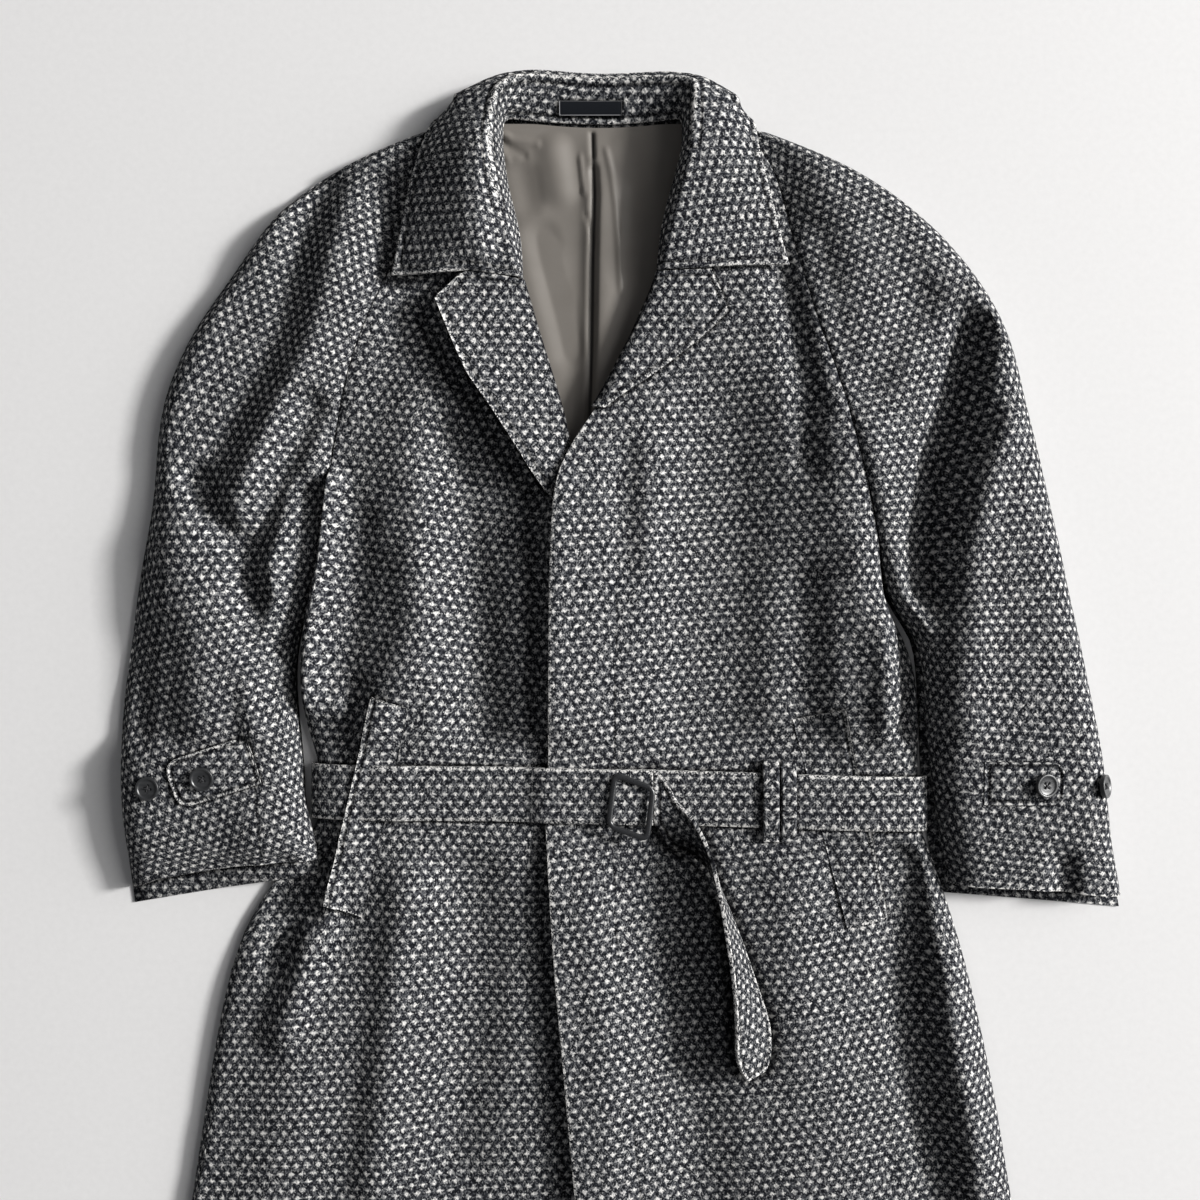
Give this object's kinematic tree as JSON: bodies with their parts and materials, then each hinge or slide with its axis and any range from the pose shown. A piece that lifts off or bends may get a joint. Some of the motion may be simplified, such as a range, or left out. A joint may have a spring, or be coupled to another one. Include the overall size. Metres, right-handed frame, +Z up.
{
  "type": "balmacaan coat",
  "caption": "Belted balmacaan overcoat in flecked tweed with raglan sleeves, fly front, turn-down collar, tabbed cuffs and slanted welt pockets, laid flat face up.",
  "frame": {"origin": "on the surface the coat lies on, under the middle of the waist, on the underside of the belt", "axes": "+X to the wearer's left, +Y from hem to collar, +Z up out of the front of the coat"},
  "size_m": [0.957, 1.2138, 0.07],
  "materials": {
    "tweed": "coarse flecked wool, matte",
    "lining": "satin weave, soft sheen",
    "label": "fine woven tape, matte",
    "button": "dark horn look, semi-gloss",
    "buckle": "smooth covered frame, satin"
  },
  "bodies": {
    "root": {"back": "tweed", "front_left": "tweed", "front_right": "tweed", "sleeve_front_left": "tweed", "sleeve_front_right": "tweed", "sleeve_back_left": "tweed", "sleeve_back_right": "tweed", "lining": "lining", "collar": "tweed", "label": "label", "lapel_left": "tweed", "lapel_right": "tweed", "pocket_welt_left": "tweed", "pocket_welt_right": "tweed", "cuff_tab_left": "tweed", "cuff_tab_right": "tweed", "button_left_tab": "button", "button_left_cuff": "button", "button_right_tab": "button", "button_right_cuff": "button", "belt_left": "tweed", "belt_right": "tweed", "belt_under": "tweed", "belt_tail": "tweed", "belt_loop": "tweed", "belt_keeper": "tweed", "buckle": "buckle"}
  },
  "joints": []
}
